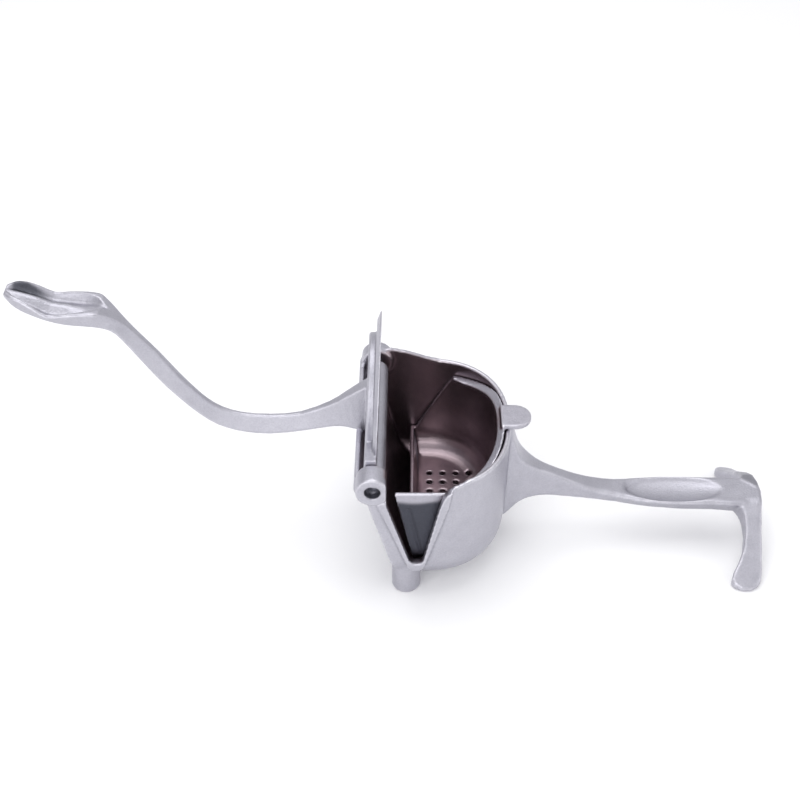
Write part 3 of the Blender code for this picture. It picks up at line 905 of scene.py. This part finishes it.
@dataclass
class DrainRims:
    """Smooth burred rims round the basket's drain holes, on its floor."""

    rows: int = 4
    columns: int = 7
    pitch: float = 8.5
    start: float = 34.0
    radius: float = 2.15
    wire: float = 0.22
    floor: float = -67.4
    shade: float = 0.8
    body: str = "basket"
    slot: str = "basket_casting"

    def build(self, finish: bpy.types.Material) -> bpy.types.Object:
        """Build the rims.

        Args:
            finish: The material of the rims.

        Returns:
            The rims as one plain mesh.
        """
        mesh = bpy.data.meshes.new("drain_rims_seed")
        host = bpy.data.objects.new("drain_rims_seed", mesh)
        bpy.context.scene.collection.objects.link(host)
        tree = self.tree()
        modifier = host.modifiers.new("rims", "NODES")
        modifier.node_group = tree
        middle = self.start + self.pitch * (self.rows - 1) / 2
        inputs = {
            "Length": self.pitch * (self.rows - 1) * MM,
            "Width": self.pitch * (self.columns - 1) * MM,
            "Rows": self.rows,
            "Columns": self.columns,
            "Radius": self.radius * MM,
            "Wire": self.wire * MM,
            "Centre": tuple(from_hinge(middle, 0.0, self.floor)),
            "Finish": finish,
        }
        sockets = {item.name: item.identifier for item in tree.interface.items_tree}
        for name, value in inputs.items():
            modifier[sockets[name]] = value
        host.update_tag()
        rims = baked(host, "drain_rims")
        rims.data.shade_smooth()
        Casting.layer(rims.data, HOLLOW_LAYER, np.full(len(rims.data.vertices), self.shade))
        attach(rims, self.body)
        LOG.info("%s: %d vertices", rims.name, len(rims.data.vertices))
        return rims

    @staticmethod
    def tree() -> bpy.types.GeometryNodeTree:
        """Build the node tree that sets one ring at each point of a grid.

        Returns:
            The node tree.
        """
        tree = bpy.data.node_groups.new("drain_rims", "GeometryNodeTree")
        kinds = {
            "Length": "NodeSocketFloat",
            "Width": "NodeSocketFloat",
            "Rows": "NodeSocketInt",
            "Columns": "NodeSocketInt",
            "Radius": "NodeSocketFloat",
            "Wire": "NodeSocketFloat",
            "Centre": "NodeSocketVector",
            "Finish": "NodeSocketMaterial",
        }
        for name, kind in kinds.items():
            tree.interface.new_socket(name, in_out="INPUT", socket_type=kind)
        tree.interface.new_socket(
            "Geometry", in_out="OUTPUT", socket_type="NodeSocketGeometry"
        )
        given = add_node(tree, "NodeGroupInput").outputs
        grid = add_node(
            tree,
            "GeometryNodeMeshGrid",
            links={
                "Size X": given["Length"],
                "Size Y": given["Width"],
                "Vertices X": given["Rows"],
                "Vertices Y": given["Columns"],
            },
        )
        ring = add_node(
            tree,
            "GeometryNodeCurvePrimitiveCircle",
            links={"Radius": given["Radius"]},
            values={"Resolution": RIM_SIDES},
        )
        wire = add_node(
            tree,
            "GeometryNodeCurvePrimitiveCircle",
            links={"Radius": given["Wire"]},
            values={"Resolution": WIRE_SIDES},
        )
        torus = add_node(
            tree,
            "GeometryNodeCurveToMesh",
            links={"Curve": ring.outputs["Curve"], "Profile Curve": wire.outputs["Curve"]},
        )
        spots = add_node(
            tree,
            "GeometryNodeInstanceOnPoints",
            links={"Points": grid.outputs["Mesh"], "Instance": torus.outputs["Mesh"]},
        )
        moved = add_node(
            tree,
            "GeometryNodeTransform",
            links={"Geometry": spots.outputs["Instances"], "Translation": given["Centre"]},
        )
        real = add_node(
            tree,
            "GeometryNodeRealizeInstances",
            links={"Geometry": moved.outputs["Geometry"]},
        )
        dressed = add_node(
            tree,
            "GeometryNodeSetMaterial",
            links={"Geometry": real.outputs["Geometry"], "Material": given["Finish"]},
        )
        add_node(tree, "NodeGroupOutput", links={"Geometry": dressed.outputs["Geometry"]})
        return tree


@dataclass
class HingePin:
    """The steel pin, kept as its CAD node."""

    node: str = "hinge_pin"
    finish: GroundSteel = field(default_factory=GroundSteel)

    def build(self) -> bpy.types.Object:
        """Dress the CAD node.

        Returns:
            The node's object.
        """
        pin = bpy.data.objects[self.node]
        pin.data.materials.clear()
        pin.data.materials.append(self.finish.build())
        LOG.info("%s dressed", pin.name)
        return pin


@dataclass(frozen=True)
class Softbox:
    """A square softbox: where it hangs and what it faces in metres, its width and watts."""

    name: str
    place: tuple[float, float, float]
    target: tuple[float, float, float]
    size: float
    power: float

    def hang(self) -> None:
        """Hang the softbox."""
        data = bpy.data.lights.new(self.name, "AREA")
        data.shape = "SQUARE"
        data.size = self.size
        data.energy = self.power
        lamp = bpy.data.objects.new(self.name, data)
        bpy.context.scene.collection.objects.link(lamp)
        lamp.location = self.place
        aim = Vector(self.target) - Vector(self.place)
        lamp.rotation_euler = aim.to_track_quat("-Z", "Y").to_euler()


@dataclass
class Studio:
    """Pale floor, soft lights and the camera."""

    floor_colour: str = "#fdfdfd"
    world_colour: str = "#d8d8db"
    world_strength: float = 1.04
    camera_place: tuple[float, float, float] = (0.0044, -0.6330, 0.6272)
    camera_turn: tuple[float, float, float] = (50.5, 0.0, 0.6)
    lens: float = 61.65
    sensor: float = 36.0
    nearest: float = 0.01
    floor_half: float = 4.0
    floor_roughness: float = 0.9
    softboxes: tuple[Softbox, ...] = (
        Softbox("front_softbox", (-0.5, -1.3, 0.75), (0.0, 0.0, 0.06), 1.3, 9.0),
        Softbox("right_softbox", (1.3, -0.5, 0.7), (0.05, 0.0, 0.05), 0.9, 2.5),
        Softbox("top_softbox", (-0.1, 0.3, 1.5), (0.0, 0.0, 0.0), 1.2, 8.5),
    )

    def build(self) -> None:
        """Make the floor, the world, the lights and the camera."""
        bpy.context.scene.view_settings.view_transform = "Standard"
        self.floor()
        self.world()
        for softbox in self.softboxes:
            softbox.hang()
        self.camera()

    def floor(self) -> None:
        """Make the pale floor."""
        mesh_data = bmesh.new()
        bmesh.ops.create_grid(mesh_data, x_segments=2, y_segments=2, size=self.floor_half)
        mesh = bpy.data.meshes.new("studio_floor")
        mesh_data.to_mesh(mesh)
        mesh_data.free()
        floor = bpy.data.objects.new("studio_floor", mesh)
        bpy.context.scene.collection.objects.link(floor)
        paper = bpy.data.materials.new("white_paper_sweep")
        paper.use_nodes = True
        shader = paper.node_tree.nodes["Principled BSDF"]
        shader.inputs["Base Color"].default_value = linear(self.floor_colour)
        shader.inputs["Roughness"].default_value = self.floor_roughness
        mesh.materials.append(paper)

    def world(self) -> None:
        """Make the pale surroundings."""
        world = bpy.data.worlds.new("studio")
        world.use_nodes = True
        background = world.node_tree.nodes["Background"]
        background.inputs["Color"].default_value = linear(self.world_colour)
        background.inputs["Strength"].default_value = self.world_strength
        bpy.context.scene.world = world

    def camera(self) -> None:
        """Make the camera."""
        data = bpy.data.cameras.new("view")
        data.lens = self.lens
        data.sensor_width = self.sensor
        data.clip_start = self.nearest
        view = bpy.data.objects.new("view", data)
        bpy.context.scene.collection.objects.link(view)
        view.location = self.camera_place
        view.rotation_euler = [math.radians(angle) for angle in self.camera_turn]
        bpy.context.scene.camera = view


def main() -> None:
    """Build every piece around the CAD frame."""
    logging.basicConfig(level=logging.INFO, format="%(name)s: %(message)s")
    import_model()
    basket = StrainerBasket().build()
    for piece in (PressBody(), PressLever(), HingePin()):
        piece.build()
    DrainRims().build(basket.data.materials[0])
    Studio().build()


if __name__ == "__main__":
    main()
